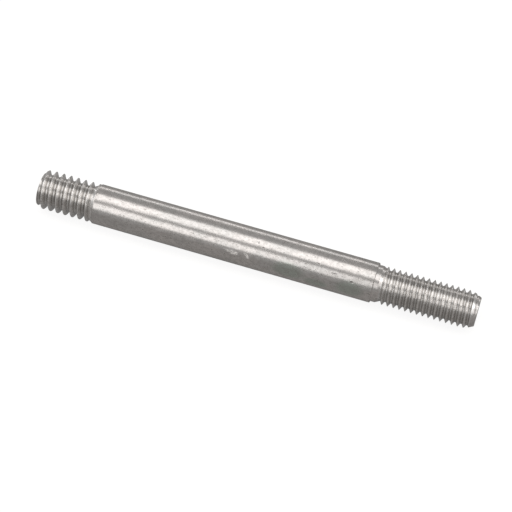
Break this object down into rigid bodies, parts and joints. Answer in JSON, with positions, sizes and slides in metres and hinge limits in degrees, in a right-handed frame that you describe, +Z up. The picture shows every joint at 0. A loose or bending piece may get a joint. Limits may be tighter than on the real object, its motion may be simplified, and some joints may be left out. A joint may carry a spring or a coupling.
{
  "type": "double ended stud",
  "caption": "Plain stainless rod with a coarse thread at one end and, past a short neck, a finer and slimmer thread that ends in a plain tapered point.",
  "frame": {"origin": "on the ground below the middle of the stud's length, where it lies on its shank", "axes": "+X along the stud towards the fine thread and its point, +Z up, +Y across the stud"},
  "size_m": [0.0746, 0.0066, 0.0067],
  "materials": {
    "stainless_steel": "bright turned stainless steel, lightly scuffed"
  },
  "bodies": {
    "root": {"stud": "stainless_steel"}
  },
  "joints": []
}
